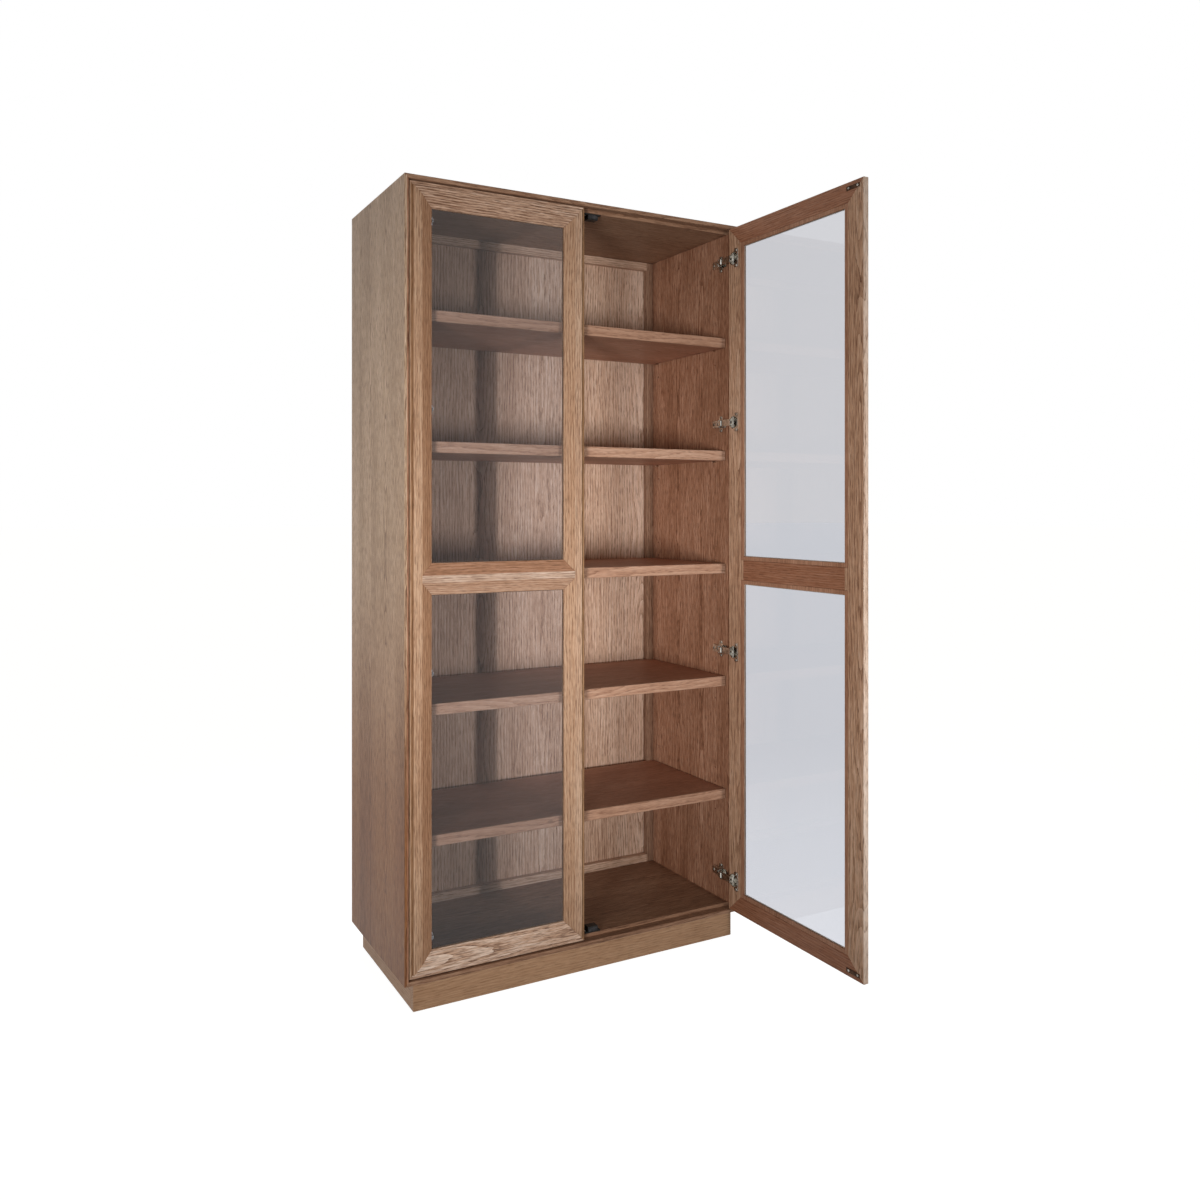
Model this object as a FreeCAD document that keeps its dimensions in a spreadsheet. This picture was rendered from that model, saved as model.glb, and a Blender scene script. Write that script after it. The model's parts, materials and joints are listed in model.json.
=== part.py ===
import FreeCAD, Part
import os
import Sketcher

# Oak bookcase with two inset glass doors on concealed hinges.
# X runs to the right, Y to the back and Z up. The origin is on the floor under the middle.
# The left door is closed, and the right one stands open.

SIZES = {
    # Case
    "case_width": 1004,
    "case_depth": 414,
    "case_height": 2000,
    "panel_thickness": 20,
    "lip_thickness": 11,
    "edge_ease": 1.5,
    # Plinth
    "plinth_height": 65,
    "plinth_board": 20,
    "plinth_side_recess": 24,
    "plinth_front_recess": 6,
    "plinth_back_recess": 24,
    # Back
    "back_thickness": 8,
    "back_rebate": 10,
    "back_clearance": 0.5,
    "batten_thickness": 20,
    "batten_width": 24,
    # Shelves and the pins that carry them
    "shelf_thickness": 28,
    "shelf_end_gap": 3,
    "shelf_front_setback": 7,
    "shelf_back_gap": 1,
    "pin_diameter": 5,
    "pin_fit": 0.05,
    "pin_reach": 9,
    "pin_hole_depth": 10,
    "pin_hole_pitch": 40,
    "pin_front_row": 79,
    "pin_back_row": 55,
    # Doors
    "door_gap": 2,
    "door_back_gap": 2,
    "door_thickness": 22,
    "right_door_opening": 90,
    "frame_width": 60,
    "margin_width": 10,
    "margin_drop": 6,
    "ridge_width": 22,
    "bevel_drop": 10,
    "mid_rail_width": 77,
    "mid_rail_ridge": 18,
    "glass_setback": 12,
    "glass_thickness": 4,
    "glass_clearance": 1,
    "bead_width": 11,
    "bead_clearance": 0.2,
    # Concealed hinges, four to a door
    "hinge_end_inset": 86,
    "hinge_low_rise": 76,
    "hinge_high_rise": 77,
    "cup_diameter": 35,
    "cup_depth": 11.5,
    "cup_edge": 3.5,
    "cup_fit": 0.1,
    "cup_wall": 1.2,
    "cup_pin": 3,
    "cup_pin_gap": 0.4,
    "flange_rim": 1.5,
    "flange_thickness": 1.2,
    "wing_length": 54,
    "wing_width": 17,
    "wing_offset": 9.5,
    "wing_cut": 4,
    "plate_thickness": 3,
    "plate_front_gap": 4,
    "plate_length": 55,
    "plate_body": 22,
    "plate_span": 46,
    "plate_screw": 5,
    "pivot_inset": 28,
    "pivot_setback": 6,
    "arm_length": 50,
    "arm_width": 20,
    "arm_height": 7,
    "arm_shoulder": 14,
    "knuckle_width": 14,
    "knuckle_radius": 3.6,
    "hinge_pin": 3,
    "hinge_pin_fit": 0.05,
    "link_length": 40,
    "link_start": 6,
    "link_thickness": 2,
    "link_width": 19,
    "link_side_gap": 0.4,
    "link_eye": 3,
    "hook_depth": 8,
    "hook_width": 8,
    # Magnetic catches and their strike plates
    "strike_length": 42,
    "strike_height": 10,
    "strike_thickness": 1.5,
    "strike_gap": 0.5,
    "strike_edge": 11.5,
    "catch_width": 46,
    "catch_block": 30,
    "catch_depth": 20,
    "catch_height": 16,
    "catch_ear": 4,
    "magnet_width": 26,
    "magnet_height": 9,
    "magnet_depth": 8,
    "magnet_clearance": 0.2,
}

SHELF_COUNT = 5
PIN_HOLE_STEPS = (-1, 0, 1, 2)
LEFT = 1
RIGHT = -1

HALF_WIDTH = "Dims.case_width / 2"
HALF_DEPTH = "Dims.case_depth / 2"
INNER_HALF_WIDTH = "(Dims.case_width / 2 - Dims.panel_thickness)"
INNER_BOTTOM = "(Dims.plinth_height + Dims.panel_thickness)"
INNER_TOP = "(Dims.case_height - Dims.panel_thickness)"
SIDE_HEIGHT = "(Dims.case_height - Dims.plinth_height)"
DOOR_SEAT = "(Dims.door_thickness + Dims.door_back_gap)"
BACK_FACE = "(Dims.case_depth - Dims.back_thickness)"

# The shelves divide the inside into compartments of one height
SHELF_SPACING = f"({INNER_TOP} - {INNER_BOTTOM} + Dims.shelf_thickness) / {SHELF_COUNT + 1}"
SHELF_TOPS = [f"({INNER_BOTTOM} + {shelf} * {SHELF_SPACING})" for shelf in range(1, SHELF_COUNT + 1)]

HINGE_LINE = "(Dims.case_width / 2 - Dims.lip_thickness - Dims.door_gap)"
DOOR_BOTTOM = "(Dims.plinth_height + Dims.lip_thickness + Dims.door_gap)"
DOOR_WIDTH = "(Dims.case_width / 2 - Dims.lip_thickness - 2 * Dims.door_gap)"
DOOR_TOP = "(Dims.case_height - Dims.lip_thickness - Dims.door_gap)"
DOOR_HEIGHT = f"({DOOR_TOP} - {DOOR_BOTTOM})"
RIDGE_END = "(Dims.margin_width + Dims.ridge_width)"
MID_RAIL = f"({DOOR_HEIGHT} / 2)"
MID_RAIL_LOW = f"({MID_RAIL} - Dims.mid_rail_width / 2)"
MID_RAIL_HIGH = f"({MID_RAIL} + Dims.mid_rail_width / 2)"
# Low and high sight lines of the two panes of a door, measured from the door's lower edge
PANES = {
    "lower": ("Dims.frame_width", MID_RAIL_LOW),
    "upper": (MID_RAIL_HIGH, f"({DOOR_HEIGHT} - Dims.frame_width)"),
}
BEAD_FACE = "(Dims.glass_setback + Dims.glass_thickness)"

# Hinges near both ends of the door, and above the second shelf from the bottom and from the top
HINGE_HEIGHTS = [
    f"({DOOR_BOTTOM} + Dims.hinge_end_inset)",
    f"({SHELF_TOPS[1]} + Dims.hinge_low_rise)",
    f"({SHELF_TOPS[-2]} + Dims.hinge_high_rise)",
    f"({DOOR_TOP} - Dims.hinge_end_inset)",
]
CUP_CENTRE = "(Dims.cup_edge + Dims.cup_diameter / 2)"
SIDE_FACE = "(Dims.panel_thickness - Dims.lip_thickness - Dims.door_gap)"
PLATE_TOP = f"({SIDE_FACE} + Dims.plate_thickness)"
PIVOT_Y = "(Dims.door_thickness + Dims.pivot_setback)"
# With the door open square, the hook of the link stands beside the pin across the cup, a running gap away
CUP_PIN_AWAY = "(Dims.cup_pin / 2 + Dims.cup_pin_gap) * sqrt(0.5)"
CUP_PIN_ALONG = f"(Dims.link_length - {PIVOT_Y} + {CUP_PIN_AWAY})"
CUP_PIN_DEEP = f"(Dims.pivot_inset - Dims.hook_depth - {CUP_PIN_AWAY})"
CATCH_FRONT = "(Dims.door_thickness + Dims.strike_thickness + Dims.strike_gap)"
CATCH_CENTRE = "(Dims.door_gap + Dims.strike_edge + Dims.strike_length / 2)"

doc = FreeCAD.newDocument("GlassDoorBookcase")
sheet = doc.addObject("Spreadsheet::Sheet", "Dims")
for row, (size_name, size_value) in enumerate(SIZES.items(), start=1):
    sheet.set(f"A{row}", size_name)
    sheet.set(f"B{row}", str(size_value))
    sheet.setAlias(f"B{row}", size_name)
doc.recompute()

nodes = []


def number(expression):
    """Value of an expression on the sheet, in millimetres or degrees."""
    return float(sheet.evalExpression(expression))


def toward(hand, expression):
    """The same distance to the right for the left hand side, and to the left for the right."""
    return expression if hand == LEFT else f"-({expression})"


def new_body(label):
    body = doc.addObject("PartDesign::Body", label)
    body.Label = label
    return body


def place(item, x, y, z, turn=None):
    """Bind the place of an item, and its turn about the vertical, to the sheet."""
    if turn:
        item.Placement = FreeCAD.Placement(
            FreeCAD.Vector(), FreeCAD.Rotation(FreeCAD.Vector(0, 0, 1), number(turn)))
        item.setExpression("Placement.Rotation.Angle", turn)
    item.setExpression("Placement.Base.x", x)
    item.setExpression("Placement.Base.y", y)
    item.setExpression("Placement.Base.z", z)


def sketch_on(body, name, role, offset="0"):
    """A sketch on one of the body's own planes; on XZ the offset is measured to the back."""
    sketch = body.newObject("Sketcher::SketchObject", f"{body.Name}_{name}")
    support = next(item for item in body.Origin.OriginFeatures if item.Role == role)
    sketch.AttachmentSupport = [(support, "")]
    sketch.MapMode = "FlatFace"
    sketch.setExpression("AttachmentOffset.Base.z", f"-({offset})" if role == "XZ_Plane" else offset)
    return sketch


def fix_value(sketch, kind, geometry, point, expression):
    constraint = Sketcher.Constraint(kind, geometry, point, number(expression))
    index = sketch.addConstraint(constraint)
    sketch.setExpression(f"Constraints[{index}]", expression)


def outline(sketch, corners):
    """A closed run of straight lines whose corners are bound to the sheet."""
    first = sketch.GeometryCount
    count = len(corners)
    points = [FreeCAD.Vector(number(x), number(y), 0) for x, y in corners]
    for index in range(count):
        sketch.addGeometry(Part.LineSegment(points[index], points[(index + 1) % count]))
    for index, (x, y) in enumerate(corners):
        following = first + (index + 1) % count
        sketch.addConstraint(Sketcher.Constraint("Coincident", first + index, 2, following, 1))
        fix_value(sketch, "DistanceX", first + index, 1, x)
        fix_value(sketch, "DistanceY", first + index, 1, y)


def rectangle(sketch, x_low, y_low, x_high, y_high):
    outline(sketch, [(x_low, y_low), (x_high, y_low), (x_high, y_high), (x_low, y_high)])


def circle(sketch, x, y, radius):
    centre = FreeCAD.Vector(number(x), number(y), 0)
    index = sketch.addGeometry(Part.Circle(centre, FreeCAD.Vector(0, 0, 1), number(radius)))
    fix_value(sketch, "DistanceX", index, 3, x)
    fix_value(sketch, "DistanceY", index, 3, y)
    bound = sketch.addConstraint(Sketcher.Constraint("Radius", index, number(radius)))
    sketch.setExpression(f"Constraints[{bound}]", radius)


def pad(body, sketch, length, symmetric=False, reverse=False):
    feature = body.newObject("PartDesign::Pad", f"{sketch.Name}_pad")
    feature.Profile = sketch
    feature.setExpression("Length", length)
    feature.SideType = "Symmetric" if symmetric else "One side"
    feature.Reversed = reverse


def cut(body, sketch, length=None, reverse=False):
    """A pocket of a given depth, or right through both ways when no depth is given."""
    feature = body.newObject("PartDesign::Pocket", f"{sketch.Name}_cut")
    feature.Profile = sketch
    feature.Reversed = reverse
    if length is None:
        feature.Type = "ThroughAll"
        feature.SideType = "Symmetric"
    else:
        feature.setExpression("Length", length)


def box(label, x, y, z, length, width, height):
    item = doc.addObject("Part::Box", label)
    item.Label = label
    item.setExpression("Length", length)
    item.setExpression("Width", width)
    item.setExpression("Height", height)
    place(item, x, y, z)
    return item


def group(label, members):
    """Like pieces that share one node as separate solids."""
    item = doc.addObject("Part::Compound", label)
    item.Label = label
    item.Links = members
    return item


def copies(body, heights):
    """Copies of one piece, one above the other."""
    links = []
    for index, height in enumerate(heights, start=1):
        link = doc.addObject("App::Link", f"{body.Name}_{index}")
        link.LinkedObject = body
        link.setExpression("Placement.Base.z", height)
        links.append(link)
    return links


# Case panels

def panel_profile():
    """Section of a case panel: distance from its outer face and from the front of the case."""
    lip = "Dims.lip_thickness"
    ease = "Dims.edge_ease"
    panel = "Dims.panel_thickness"
    rebate = "Dims.panel_thickness - Dims.back_rebate"
    return [
        (ease, "0"), (f"{lip} - {ease}", "0"), (lip, ease), (lip, DOOR_SEAT),
        (panel, DOOR_SEAT), (panel, BACK_FACE), (rebate, BACK_FACE),
        (rebate, "Dims.case_depth"), ("0", "Dims.case_depth"), ("0", ease),
    ]


def side_panel(label, hand):
    body = new_body(label)
    panel = toward(hand, "Dims.panel_thickness")
    profile = sketch_on(body, "profile", "XY_Plane")
    outline(profile, [(toward(hand, inward), y) for inward, y in panel_profile()])
    pad(body, profile, SIDE_HEIGHT)
    mitre = sketch_on(body, "mitre", "XZ_Plane")
    outline(mitre, [("0", "0"), (panel, "0"), (panel, "Dims.panel_thickness")])
    outline(mitre, [("0", SIDE_HEIGHT), (panel, SIDE_HEIGHT),
                    (panel, f"{SIDE_HEIGHT} - Dims.panel_thickness")])
    cut(body, mitre)
    holes = sketch_on(body, "pin_holes", "YZ_Plane", panel)
    for top in SHELF_TOPS:
        for step in PIN_HOLE_STEPS:
            height = f"{pin_height(top)} - Dims.plinth_height + {step} * Dims.pin_hole_pitch"
            for row in ("Dims.pin_front_row", "Dims.case_depth - Dims.pin_back_row"):
                circle(holes, row, height, "Dims.pin_diameter / 2 + Dims.pin_fit")
    cut(body, holes, "Dims.pin_hole_depth", reverse=hand == RIGHT)
    place(body, toward(-hand, HALF_WIDTH), f"-{HALF_DEPTH}", "Dims.plinth_height")
    nodes.append(body)


def level_panel(label, hand, height):
    """The bottom, whose inside faces up, or the top, whose inside faces down."""
    body = new_body(label)
    panel = toward(hand, "Dims.panel_thickness")
    profile = sketch_on(body, "profile", "YZ_Plane")
    outline(profile, [(y, toward(hand, inward)) for inward, y in panel_profile()])
    pad(body, profile, "Dims.case_width", symmetric=True)
    mitre = sketch_on(body, "mitre", "XZ_Plane")
    for end in (LEFT, RIGHT):
        outer = toward(-end, HALF_WIDTH)
        outline(mitre, [(outer, "0"), (outer, panel), (toward(-end, INNER_HALF_WIDTH), panel)])
    cut(body, mitre)
    place(body, "0", f"-{HALF_DEPTH}", height)
    nodes.append(body)


def pin_height(shelf_top):
    return f"({shelf_top} - Dims.shelf_thickness - Dims.pin_diameter / 2 - Dims.pin_fit)"


def back():
    opening = "(Dims.panel_thickness - Dims.back_rebate + Dims.back_clearance)"
    nodes.append(box(
        "back_panel", f"{opening} - {HALF_WIDTH}", f"{HALF_DEPTH} - Dims.back_thickness",
        f"Dims.plinth_height + {opening}", f"Dims.case_width - 2 * {opening}",
        "Dims.back_thickness", f"{SIDE_HEIGHT} - 2 * {opening}"))


def battens():
    """Four strips against the back, upright ones full height and level ones between them."""
    depth = "Dims.batten_thickness"
    width = "Dims.batten_width"
    y = f"{HALF_DEPTH} - Dims.back_thickness - {depth}"
    upright = f"{INNER_TOP} - {INNER_BOTTOM}"
    level_x = f"{width} - {INNER_HALF_WIDTH}"
    level = f"2 * {INNER_HALF_WIDTH} - 2 * {width}"
    nodes.append(box("back_batten_left", f"-{INNER_HALF_WIDTH}", y, INNER_BOTTOM, width, depth, upright))
    nodes.append(box("back_batten_right", f"{INNER_HALF_WIDTH} - {width}", y, INNER_BOTTOM,
                     width, depth, upright))
    nodes.append(box("back_batten_bottom", level_x, y, INNER_BOTTOM, level, depth, width))
    nodes.append(box("back_batten_top", level_x, y, f"{INNER_TOP} - {width}", level, depth, width))


def plinth():
    """Front and back boards with two side boards and a brace between them."""
    board = "Dims.plinth_board"
    tall = "Dims.plinth_height"
    half = f"({HALF_WIDTH} - Dims.plinth_side_recess)"
    front = f"(Dims.plinth_front_recess - {HALF_DEPTH})"
    rear = f"({HALF_DEPTH} - Dims.plinth_back_recess - {board})"
    between = f"{rear} - {front} - {board}"
    nodes.append(box("plinth_front", f"-{half}", front, "0", f"2 * {half}", board, tall))
    nodes.append(box("plinth_back", f"-{half}", rear, "0", f"2 * {half}", board, tall))
    places = {
        "plinth_left": f"-{half}",
        "plinth_brace": f"-{board} / 2",
        "plinth_right": f"{half} - {board}",
    }
    for label, x in places.items():
        nodes.append(box(label, x, f"{front} + {board}", "0", board, between, tall))


def shelf(label, top):
    body = new_body(label)
    ease = "Dims.edge_ease"
    front = f"({DOOR_SEAT} + Dims.shelf_front_setback)"
    deep = f"({BACK_FACE} - Dims.batten_thickness - Dims.shelf_back_gap - {front})"
    under = "-Dims.shelf_thickness"
    profile = sketch_on(body, "profile", "YZ_Plane")
    outline(profile, [(ease, "0"), ("0", f"-{ease}"), ("0", f"{under} + {ease}"), (ease, under),
                      (deep, under), (deep, "0")])
    pad(body, profile, f"2 * {INNER_HALF_WIDTH} - 2 * Dims.shelf_end_gap", symmetric=True)
    place(body, "0", f"{front} - {HALF_DEPTH}", top)
    nodes.append(body)


def shelf_pins():
    pins = []
    for top in SHELF_TOPS:
        for row in (f"Dims.pin_front_row - {HALF_DEPTH}", f"{HALF_DEPTH} - Dims.pin_back_row"):
            for hand, start in ((LEFT, "Dims.pin_hole_depth"), (RIGHT, "Dims.pin_reach")):
                pin = doc.addObject("Part::Cylinder", "shelf_pin")
                pin.setExpression("Radius", "Dims.pin_diameter / 2")
                pin.setExpression("Height", "Dims.pin_hole_depth + Dims.pin_reach")
                pin.Placement.Rotation = FreeCAD.Rotation(FreeCAD.Vector(0, 1, 0), 90)
                place(pin, f"{toward(-hand, INNER_HALF_WIDTH)} - {start}", row, pin_height(top))
                pins.append(pin)
    nodes.append(group("shelf_pins", pins))


# Doors. Each member is drawn in its door's own frame: the distance from the hinge edge runs along X,
# the distance from the front face along Y, and the height above the door's lower edge along Z.

def place_on_door(item, hand):
    turn = "Dims.right_door_opening" if hand == RIGHT else None
    place(item, toward(-hand, HINGE_LINE), f"-{HALF_DEPTH}", DOOR_BOTTOM, turn)


def frame_profile():
    """Section of a frame member: a low outer margin, a raised ridge and a bevel down to the glass."""
    ease = "Dims.edge_ease"
    margin = "Dims.margin_width"
    drop = "Dims.margin_drop"
    return [
        ("0", "Dims.door_thickness"), ("0", f"{drop} + {ease}"), (ease, drop), (margin, drop),
        (margin, ease), (f"{margin} + {ease}", "0"), (RIDGE_END, "0"),
        ("Dims.frame_width", "Dims.bevel_drop"), ("Dims.frame_width", "Dims.door_thickness"),
    ]


def pane_rectangle(sketch, hand, pane, inset):
    """A rectangle round a pane, larger than its sight opening by the inset."""
    low, high = PANES[pane]
    rectangle(sketch, toward(hand, f"Dims.frame_width - {inset}"), f"{low} - {inset}",
              toward(hand, f"{DOOR_WIDTH} - Dims.frame_width + {inset}"), f"{high} + {inset}")


def cut_pane_recess(body, hand):
    """The rebate behind the bevel that takes the panes and their beads."""
    recess = sketch_on(body, "pane_recess", "XZ_Plane", "Dims.glass_setback")
    for pane in PANES:
        pane_rectangle(recess, hand, pane, "Dims.bead_width")
    cut(body, recess, "Dims.door_thickness - Dims.glass_setback")


def draw_arrow_rail(sketch, hand):
    """Outline of the middle rail, whose pointed ends reach the ridges of the stiles."""
    low = f"{MID_RAIL} - Dims.mid_rail_ridge / 2"
    high = f"{MID_RAIL} + Dims.mid_rail_ridge / 2"
    near = "Dims.frame_width"
    far = f"{DOOR_WIDTH} - Dims.frame_width"
    corners = [(RIDGE_END, low), (RIDGE_END, high), (near, MID_RAIL_HIGH), (far, MID_RAIL_HIGH),
               (f"{DOOR_WIDTH} - {RIDGE_END}", high), (f"{DOOR_WIDTH} - {RIDGE_END}", low),
               (far, MID_RAIL_LOW), (near, MID_RAIL_LOW)]
    outline(sketch, [(toward(hand, along), z) for along, z in corners])


def stile(label, hand, at_hinge):
    """An upright of the door frame, mitred at both ends and notched for the middle rail."""
    def along(distance):
        return toward(hand, distance if at_hinge else f"{DOOR_WIDTH} - ({distance})")

    body = new_body(label)
    profile = sketch_on(body, "profile", "XY_Plane")
    outline(profile, [(along(distance), y) for distance, y in frame_profile()])
    pad(body, profile, DOOR_HEIGHT)
    mitre = sketch_on(body, "mitre", "XZ_Plane")
    beyond = "2 * Dims.frame_width"
    outline(mitre, [(along("0"), "0"), (along(beyond), "0"), (along(beyond), beyond)])
    outline(mitre, [(along("0"), DOOR_HEIGHT), (along(beyond), DOOR_HEIGHT),
                    (along(beyond), f"{DOOR_HEIGHT} - {beyond}")])
    cut(body, mitre)
    cut_pane_recess(body, hand)
    notch = sketch_on(body, "rail_notch", "XZ_Plane")
    draw_arrow_rail(notch, hand)
    cut(body, notch, "Dims.glass_setback")
    if at_hinge:
        bores = sketch_on(body, "cup_bores", "XZ_Plane", "Dims.door_thickness")
        for height in HINGE_HEIGHTS:
            circle(bores, along(CUP_CENTRE), f"{height} - {DOOR_BOTTOM}", "Dims.cup_diameter / 2")
        cut(body, bores, "Dims.cup_depth", reverse=True)
    place_on_door(body, hand)
    nodes.append(body)


def end_rail(label, hand, at_top):
    """The top or bottom rail of the door frame, mitred to the stiles."""
    def up(distance):
        return f"{DOOR_HEIGHT} - ({distance})" if at_top else distance

    body = new_body(label)
    profile = sketch_on(body, "profile", "YZ_Plane")
    outline(profile, [(y, up(distance)) for distance, y in frame_profile()])
    pad(body, profile, DOOR_WIDTH, reverse=hand == RIGHT)
    mitre = sketch_on(body, "mitre", "XZ_Plane")
    beyond = "2 * Dims.frame_width"
    outline(mitre, [("0", up("0")), ("0", up(beyond)), (toward(hand, beyond), up(beyond))])
    outline(mitre, [(toward(hand, DOOR_WIDTH), up("0")), (toward(hand, DOOR_WIDTH), up(beyond)),
                    (toward(hand, f"{DOOR_WIDTH} - {beyond}"), up(beyond))])
    cut(body, mitre)
    cut_pane_recess(body, hand)
    place_on_door(body, hand)
    nodes.append(body)


def mid_rail(label, hand):
    """The middle rail: a bevelled face with pointed ends, let into the stiles, on a square back."""
    body = new_body(label)
    face = sketch_on(body, "face", "XZ_Plane")
    draw_arrow_rail(face, hand)
    pad(body, face, "Dims.glass_setback", reverse=True)
    rear = sketch_on(body, "rear", "XZ_Plane", "Dims.glass_setback")
    rectangle(rear, toward(hand, "Dims.frame_width"), MID_RAIL_LOW,
              toward(hand, f"{DOOR_WIDTH} - Dims.frame_width"), MID_RAIL_HIGH)
    pad(body, rear, "Dims.door_thickness - Dims.glass_setback", reverse=True)
    cut_pane_recess(body, hand)
    bevels = sketch_on(body, "bevels", "YZ_Plane")
    low = f"{MID_RAIL} - Dims.mid_rail_ridge / 2"
    high = f"{MID_RAIL} + Dims.mid_rail_ridge / 2"
    outline(bevels, [("0", low), ("Dims.bevel_drop", MID_RAIL_LOW), ("0", MID_RAIL_LOW)])
    outline(bevels, [("0", high), ("Dims.bevel_drop", MID_RAIL_HIGH), ("0", MID_RAIL_HIGH)])
    cut(body, bevels)
    place_on_door(body, hand)
    nodes.append(body)


def glass(label, hand, pane):
    body = new_body(label)
    sheet_outline = sketch_on(body, "pane", "XZ_Plane", "Dims.glass_setback")
    pane_rectangle(sheet_outline, hand, pane, "(Dims.bead_width - Dims.glass_clearance)")
    pad(body, sheet_outline, "Dims.glass_thickness", reverse=True)
    place_on_door(body, hand)
    nodes.append(body)


def bead(label, hand, pane):
    """Four mitred strips that hold a pane from behind, flush with the inside of the frame."""
    low, high = PANES[pane]
    near = "Dims.frame_width"
    far = f"{DOOR_WIDTH} - Dims.frame_width"
    reach = "(Dims.bead_width - Dims.bead_clearance)"
    inner = [(near, low), (far, low), (far, high), (near, high)]
    outer = [(f"{near} - {reach}", f"{low} - {reach}"), (f"{far} + {reach}", f"{low} - {reach}"),
             (f"{far} + {reach}", f"{high} + {reach}"), (f"{near} - {reach}", f"{high} + {reach}")]
    strips = []
    for index, side in enumerate(("below", "free_side", "above", "hinge_side")):
        following = (index + 1) % len(inner)
        body = new_body(f"{label}_{side}")
        face = sketch_on(body, "face", "XZ_Plane", BEAD_FACE)
        corners = [outer[index], outer[following], inner[following], inner[index]]
        outline(face, [(toward(hand, along), z) for along, z in corners])
        pad(body, face, f"Dims.door_thickness - {BEAD_FACE}", reverse=True)
        strips.append(body)
    ring = group(label, strips)
    place_on_door(ring, hand)
    nodes.append(ring)


def hinge_cups(label, hand):
    """Cups let into the hinge stile, with a rim, two screw wings and a pin across each cup."""
    body = new_body(f"{label}_cup")
    centre = toward(hand, CUP_CENTRE)
    cup = sketch_on(body, "cup", "XZ_Plane", "Dims.door_thickness - Dims.cup_depth")
    circle(cup, centre, "0", "Dims.cup_diameter / 2 - Dims.cup_fit")
    pad(body, cup, "Dims.cup_depth", reverse=True)
    rim = sketch_on(body, "rim", "XZ_Plane", "Dims.door_thickness")
    circle(rim, centre, "0", "Dims.cup_diameter / 2 + Dims.flange_rim")
    pad(body, rim, "Dims.flange_thickness", reverse=True)
    wings = sketch_on(body, "wings", "XZ_Plane", "Dims.door_thickness")
    side = "Dims.wing_width / 2"
    corner = "Dims.wing_width / 2 - Dims.wing_cut"
    end = "Dims.wing_length / 2"
    shoulder = "Dims.wing_length / 2 - Dims.wing_cut"
    quarter = [(side, shoulder), (corner, end)]
    corners = quarter + [(f"-({x})", z) for x, z in reversed(quarter)]
    corners = corners + [(f"-({x})", f"-({z})") for x, z in quarter]
    corners = corners + [(x, f"-({z})") for x, z in reversed(quarter)]
    middle = toward(hand, f"{CUP_CENTRE} + Dims.wing_offset")
    outline(wings, [(f"{middle} + {x}", z) for x, z in corners])
    pad(body, wings, "Dims.flange_thickness", reverse=True)
    hollow = sketch_on(body, "hollow", "XZ_Plane", "Dims.door_thickness + Dims.flange_thickness")
    circle(hollow, centre, "0", "Dims.cup_diameter / 2 - Dims.cup_fit - Dims.cup_wall")
    cut(body, hollow, "Dims.cup_depth + Dims.flange_thickness - Dims.cup_wall", reverse=True)
    pin = sketch_on(body, "pin", "XY_Plane")
    circle(pin, toward(hand, CUP_PIN_ALONG), CUP_PIN_DEEP, "Dims.cup_pin / 2")
    wall = "(Dims.cup_diameter / 2 - Dims.cup_fit)"
    far_side = f"({CUP_CENTRE} - {CUP_PIN_ALONG} + Dims.cup_pin / 2)"
    pad(body, pin, f"2 * sqrt({wall} ^ 2 - {far_side} ^ 2)", symmetric=True)
    cups = group(label, copies(body, [f"{height} - {DOOR_BOTTOM}" for height in HINGE_HEIGHTS]))
    place_on_door(cups, hand)
    nodes.append(cups)


def strike_plates(label, hand):
    """Steel plates near the free corners of the door, one behind each catch."""
    start = f"{DOOR_WIDTH} - Dims.strike_edge - Dims.strike_length"
    x = start if hand == LEFT else f"-({DOOR_WIDTH} - Dims.strike_edge)"
    low = f"{INNER_BOTTOM} + (Dims.catch_height - Dims.strike_height) / 2 - {DOOR_BOTTOM}"
    high = f"{INNER_TOP} - (Dims.catch_height + Dims.strike_height) / 2 - {DOOR_BOTTOM}"
    plates = [
        box(f"{label}_{name}", x, "Dims.door_thickness", z,
            "Dims.strike_length", "Dims.strike_thickness", "Dims.strike_height")
        for name, z in (("low", low), ("high", high))
    ]
    pair = group(label, plates)
    place_on_door(pair, hand)
    nodes.append(pair)


# Hinge pieces on the case. They are drawn from the hinge edge of the door: inward along X and from
# the front of the case along Y.

def hinge_plates(label, hand):
    """Mounting plates on the side panel, with two screw wings and a pointed tail."""
    body = new_body(f"{label}_plate")
    front = f"({DOOR_SEAT} + Dims.plate_front_gap)"
    half = "Dims.plate_body / 2"
    span = "Dims.plate_span / 2"
    shape = sketch_on(body, "outline", "YZ_Plane", toward(hand, SIDE_FACE))
    neck = "Dims.plate_body / 3"
    stations = [(0, half), (0.22, half), (0.29, span), (0.51, span), (0.58, half), (0.8, neck)]
    upper = [(f"{front} + {share} * Dims.plate_length", z) for share, z in stations]
    tail = [(f"{front} + Dims.plate_length", "0")]
    outline(shape, upper + tail + [(y, f"-{z}") for y, z in reversed(upper)])
    pad(body, shape, "Dims.plate_thickness", reverse=hand == RIGHT)
    screws = sketch_on(body, "screw_holes", "YZ_Plane", toward(hand, PLATE_TOP))
    height = "(Dims.plate_span / 2 - Dims.plate_screw)"
    for z in (height, f"-{height}"):
        circle(screws, f"{front} + 0.4 * Dims.plate_length", z, "Dims.plate_screw / 2")
    cut(body, screws, "Dims.plate_thickness", reverse=hand == RIGHT)
    plates = group(label, copies(body, HINGE_HEIGHTS))
    place(plates, toward(-hand, HINGE_LINE), f"-{HALF_DEPTH}", "0")
    nodes.append(plates)


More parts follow.
